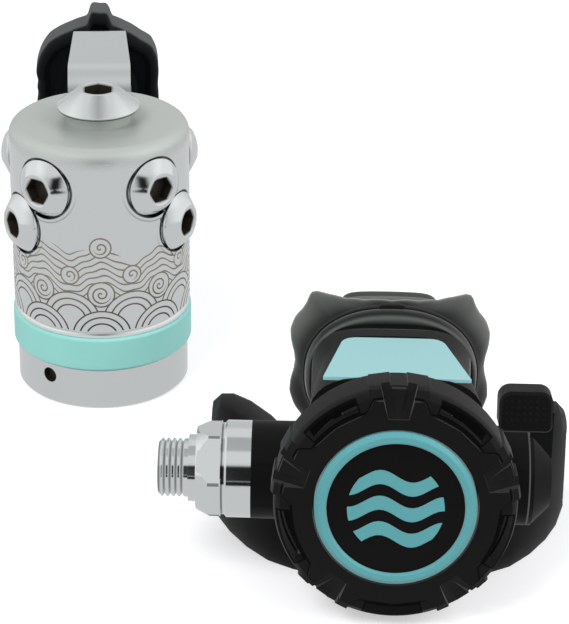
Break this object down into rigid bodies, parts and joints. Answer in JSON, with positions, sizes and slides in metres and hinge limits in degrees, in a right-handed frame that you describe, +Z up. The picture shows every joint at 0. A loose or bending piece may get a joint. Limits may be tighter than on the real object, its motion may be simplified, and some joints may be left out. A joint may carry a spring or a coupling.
{
  "type": "scuba regulator set",
  "caption": "Diaphragm first stage with yoke clamp and port plugs, and a side-inlet second stage with purge button, venturi lever, exhaust tee and mouthpiece.",
  "frame": {"origin": "centre of the flat end cap that the first stage stands on", "axes": "+Z up along the first stage, +Y towards its yoke, +X towards the second stage's side"},
  "size_m": [0.15, 0.23, 0.087],
  "materials": {
    "chrome": "mirror chrome on brass",
    "satin_chrome": "satin pearl chrome",
    "brass": "machined",
    "steel": "drawn stainless",
    "black_nylon": "fine-grained glass-filled nylon",
    "black_rubber": "moulded",
    "mint_rubber": "satin",
    "mint_inlay": "satin",
    "teal": "satin-gloss",
    "smoke_silicone": "smoky translucent silicone"
  },
  "bodies": {
    "first_stage": {"first_stage_body": "chrome", "end_plug": "chrome", "end_plug_oring": "black_rubber", "low_pressure_plugs": "chrome", "high_pressure_plugs": "chrome", "port_plug_orings": "black_rubber", "colour_ring": "mint_rubber", "diaphragm_clamp": "chrome", "environmental_cap": "chrome", "environmental_diaphragm": "black_rubber", "main_spring": "steel", "spring_adjuster": "brass", "main_diaphragm": "black_rubber", "pressure_crown": "brass", "valve_spring": "steel", "yoke": "satin_chrome", "yoke_connector": "chrome", "connector_oring": "black_rubber", "inlet_filter": "brass", "filter_clip": "steel"},
    "first_stage_valve": {"hydrostatic_transmitter": "black_nylon", "spring_carrier": "brass", "valve_lifter": "steel", "pressure_valve": "brass", "pressure_seat": "black_nylon"},
    "yoke_screw": {"yoke_screw": "chrome"},
    "yoke_handwheel": {"yoke_knob": "black_rubber", "knob_insert": "steel", "knob_screw": "steel"},
    "second_stage": {"second_stage_case": "black_nylon", "top_label": "mint_inlay", "front_cover": "black_nylon", "diaphragm_ring": "black_nylon", "diaphragm": "black_rubber", "purge_spring": "steel", "valve_barrel": "chrome", "orifice": "brass", "orifice_oring": "black_rubber", "poppet_spring": "steel", "inlet_fitting": "chrome", "inlet_oring": "black_rubber", "exhaust_valve": "black_rubber", "exhaust_tee": "black_nylon", "mouthpiece": "smoke_silicone", "mouthpiece_strap": "black_nylon"},
    "purge": {"purge_button": "black_nylon", "accent_ring": "teal", "purge_emblem": "teal"},
    "diaphragm_plate": {"diaphragm_disc": "steel"},
    "demand_lever": {"demand_lever": "steel"},
    "demand_poppet": {"poppet": "brass", "poppet_seat": "black_rubber"},
    "venturi": {"venturi_lever": "black_nylon", "venturi_vane": "brass"}
  },
  "joints": [
    {"name": "second_stage_lift", "type": "slide", "parent": "first_stage", "child": "second_stage", "axis": [0, 0, 1], "range_m": [0, 0.1]},
    {"name": "first_stage_valve_slide", "type": "slide", "parent": "first_stage", "child": "first_stage_valve", "axis": [0, 0, 1], "range_m": [-0.0008, 0], "stiffness_N_per_m": 300, "deforming": ["main_spring", "valve_spring", "main_diaphragm", "environmental_diaphragm"]},
    {"name": "yoke_screw_slide", "type": "slide", "parent": "first_stage", "child": "yoke_screw", "axis": [0, 1, 0], "range_m": [0, 0.01225]},
    {"name": "handwheel_turn", "type": "hinge", "parent": "yoke_screw", "child": "yoke_handwheel", "pos_m": [0, 0.082, 0.059], "axis": [0, 1, 0], "range_deg": [0, 2520]},
    {"name": "purge_press", "type": "slide", "parent": "second_stage", "child": "purge", "axis": [0.0825, 0.9828, -0.165], "range_m": [0, 0.0026], "stiffness_N_per_m": 600, "springref_m": -0.001, "deforming": ["purge_spring", "diaphragm"]},
    {"name": "diaphragm_stroke", "type": "slide", "parent": "second_stage", "child": "diaphragm_plate", "axis": [0.0825, 0.9828, -0.165], "range_m": [0, 0.0026]},
    {"name": "lever_pivot", "type": "hinge", "parent": "second_stage", "child": "demand_lever", "pos_m": [0.08472, -0.11046, 0.02767], "axis": [-0.0138, -0.1645, -0.9863], "range_deg": [0, 12.5]},
    {"name": "poppet_stroke", "type": "slide", "parent": "second_stage", "child": "demand_poppet", "axis": [0.9965, -0.0837, 0], "range_m": [0, 0.001], "deforming": ["poppet_spring"]},
    {"name": "venturi_turn", "type": "hinge", "parent": "second_stage", "child": "venturi", "pos_m": [0.10614, -0.11226, 0.02767], "axis": [-0.9965, 0.0837, 0], "range_deg": [0, 45]}
  ],
  "couplings": [
    {"joint": "yoke_screw_slide", "follows": "handwheel_turn", "m_per_rad": 0.00027852},
    {"joint": "diaphragm_stroke", "follows": "purge_press", "ratio": 1},
    {"joint": "lever_pivot", "follows": "purge_press", "rad_per_m": 74.53},
    {"joint": "poppet_stroke", "follows": "purge_press", "ratio": 0.384}
  ]
}
